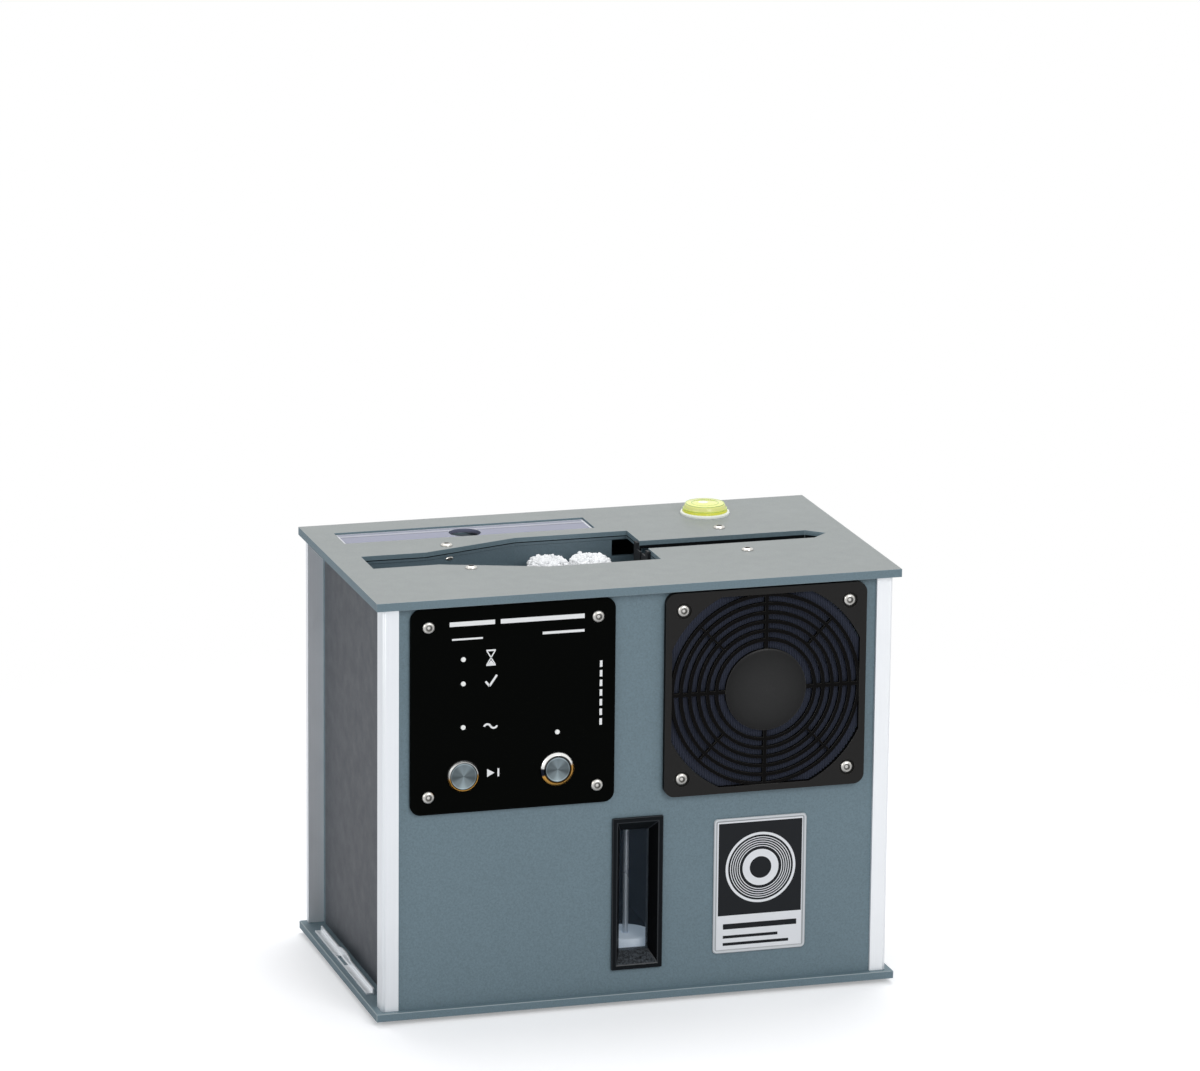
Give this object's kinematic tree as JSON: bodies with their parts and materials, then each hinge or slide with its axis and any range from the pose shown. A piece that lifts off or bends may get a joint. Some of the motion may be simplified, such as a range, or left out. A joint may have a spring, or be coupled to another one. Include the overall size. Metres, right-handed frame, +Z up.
{
  "type": "vertical record cleaning machine",
  "caption": "Upright wash box for vinyl records with a slot over fleece rollers, a ringed fan guard, a control panel, a sight window and a filler lid.",
  "frame": {"origin": "middle of the rest plane under the feet", "axes": "+X along the record slot to the fan's side, +Y to the back, +Z up"},
  "size_m": [0.328, 0.192, 0.271],
  "materials": {
    "sheet": "fine-grained slate grey sheet, matt",
    "deck": "light grey sheet, matt top face and slate edge",
    "side": "dark grey sheet, matt",
    "alu": "satin anodised extrusion",
    "foot": "matt rubber",
    "steel": "turned steel",
    "black_gloss": "gloss black",
    "black": "moulded black, satin",
    "chrome": "polished bezel",
    "cap": "spun cap",
    "lamp": "translucent white lens",
    "board": "printed board",
    "mat": "ribbed filter mat",
    "window": "dark moulded frame",
    "plate": "pale lacquered plate, blank",
    "pane": "clear pane",
    "lid": "clear acrylic with polished edges",
    "level": "tinted clear plastic",
    "tank": "welded grey sheet",
    "tub": "bent slate grey sheet",
    "float": "white foam plastic",
    "core": "moulded white plastic",
    "fleece": "white microfibre fleece",
    "brass": "machined brass",
    "motor": "grey motor can",
    "lip": "soft rubber lip on a grey clip",
    "hose": "soft silicone hose",
    "driver": "finned housing"
  },
  "bodies": {
    "cabinet": {"base_plate": "sheet", "rubber_feet": "foot", "base_rails": "alu", "front_panel": "sheet", "rear_panel": "sheet", "left_side_panel": "side", "right_side_panel": "side", "front_left_profile": "alu", "front_right_profile": "alu", "rear_left_profile": "alu", "rear_right_profile": "alu", "top_plate": "deck", "top_screws": "steel", "spirit_level": "level", "control_panel": "black_gloss", "button_bezels": "chrome", "indicator_lamps": "lamp", "circuit_board": "board", "front_fan_guard": "black", "front_filter_mat": "mat", "front_fan_frame": "black", "rear_fan_guard": "black", "rear_fan_frame": "black", "panel_screws": "steel", "name_plate": "plate", "window_bezel": "window", "window_pane": "pane", "reservoir": "tank", "reservoir_cover": "tank", "float_rod": "steel", "tub_front_wall": "tub", "tub_rear_wall": "tub", "tub_floor": "tub", "gearbox_plate": "alu", "roller_motor": "motor", "wiper_lips": "lip", "filler_duct": "tank", "ultrasonic_transducers": "steel", "pump": "black", "fill_hose": "hose", "ultrasonic_driver": "driver", "power_inlet": "black"},
    "start_button": {"start_button": "cap"},
    "power_button": {"power_button": "cap"},
    "front_impeller": {"front_fan_impeller": "black"},
    "rear_impeller": {"rear_fan_impeller": "black"},
    "roller_front_left": {"front_left_roller": "core", "front_left_sleeve": "fleece"},
    "roller_front_right": {"front_right_roller": "core", "front_right_sleeve": "fleece"},
    "roller_rear_left": {"rear_left_roller": "core", "rear_left_sleeve": "fleece"},
    "roller_rear_right": {"rear_right_roller": "core", "rear_right_sleeve": "fleece"},
    "pinion": {"motor_pinion": "brass"},
    "rim_wheel_left": {"left_rim_wheel": "core"},
    "rim_wheel_right": {"right_rim_wheel": "core"},
    "filler_lid": {"filler_lid": "lid"},
    "float": {"float": "float"},
    "drain_plug": {"drain_plug": "black"}
  },
  "joints": [
    {"name": "start_press", "type": "slide", "parent": "cabinet", "child": "start_button", "axis": [0, 1, 0], "range_m": [0, 0.0015], "stiffness_N_per_m": 400, "springref_m": -0.001},
    {"name": "power_press", "type": "slide", "parent": "cabinet", "child": "power_button", "axis": [0, 1, 0], "range_m": [0, 0.0015], "stiffness_N_per_m": 400, "springref_m": -0.001},
    {"name": "front_fan_spin", "type": "hinge", "parent": "cabinet", "child": "front_impeller", "pos_m": [0.079, -0.074, 0.193], "axis": [0, 1, 0], "continuous": true},
    {"name": "rear_fan_spin", "type": "hinge", "parent": "cabinet", "child": "rear_impeller", "pos_m": [0.079, 0.074, 0.193], "axis": [0, 1, 0], "continuous": true},
    {"name": "roller_spin", "type": "hinge", "parent": "cabinet", "child": "roller_front_left", "pos_m": [-0.027, -0.014, 0.2], "axis": [0, 0, 1], "continuous": true},
    {"name": "roller_front_right_spin", "type": "hinge", "parent": "cabinet", "child": "roller_front_right", "pos_m": [-0.0005, -0.014, 0.2], "axis": [0, 0, 1], "continuous": true},
    {"name": "roller_rear_left_spin", "type": "hinge", "parent": "cabinet", "child": "roller_rear_left", "pos_m": [-0.027, 0.014, 0.2], "axis": [0, 0, 1], "continuous": true},
    {"name": "roller_rear_right_spin", "type": "hinge", "parent": "cabinet", "child": "roller_rear_right", "pos_m": [-0.0005, 0.014, 0.2], "axis": [0, 0, 1], "continuous": true},
    {"name": "pinion_spin", "type": "hinge", "parent": "cabinet", "child": "pinion", "pos_m": [-0.01375, -0.03029, 0.14], "axis": [0, 0, 1], "continuous": true},
    {"name": "left_wheel_spin", "type": "hinge", "parent": "cabinet", "child": "rim_wheel_left", "pos_m": [-0.06296, 0, 0.17358], "axis": [0, 1, 0], "continuous": true},
    {"name": "right_wheel_spin", "type": "hinge", "parent": "cabinet", "child": "rim_wheel_right", "pos_m": [0.06296, 0, 0.17358], "axis": [0, 1, 0], "continuous": true},
    {"name": "lid_lift", "type": "slide", "parent": "cabinet", "child": "filler_lid", "axis": [0, 0, 1], "range_m": [0, 0.04]},
    {"name": "float_rise", "type": "slide", "parent": "cabinet", "child": "float", "axis": [0, 0, 1], "range_m": [0, 0.066]},
    {"name": "plug_pull", "type": "slide", "parent": "cabinet", "child": "drain_plug", "axis": [0, 1, 0], "range_m": [0, 0.015]}
  ],
  "couplings": [
    {"joint": "roller_front_right_spin", "follows": "roller_spin", "ratio": 1},
    {"joint": "roller_rear_left_spin", "follows": "roller_spin", "ratio": -1},
    {"joint": "roller_rear_right_spin", "follows": "roller_spin", "ratio": -1},
    {"joint": "pinion_spin", "follows": "roller_spin", "ratio": -2}
  ]
}
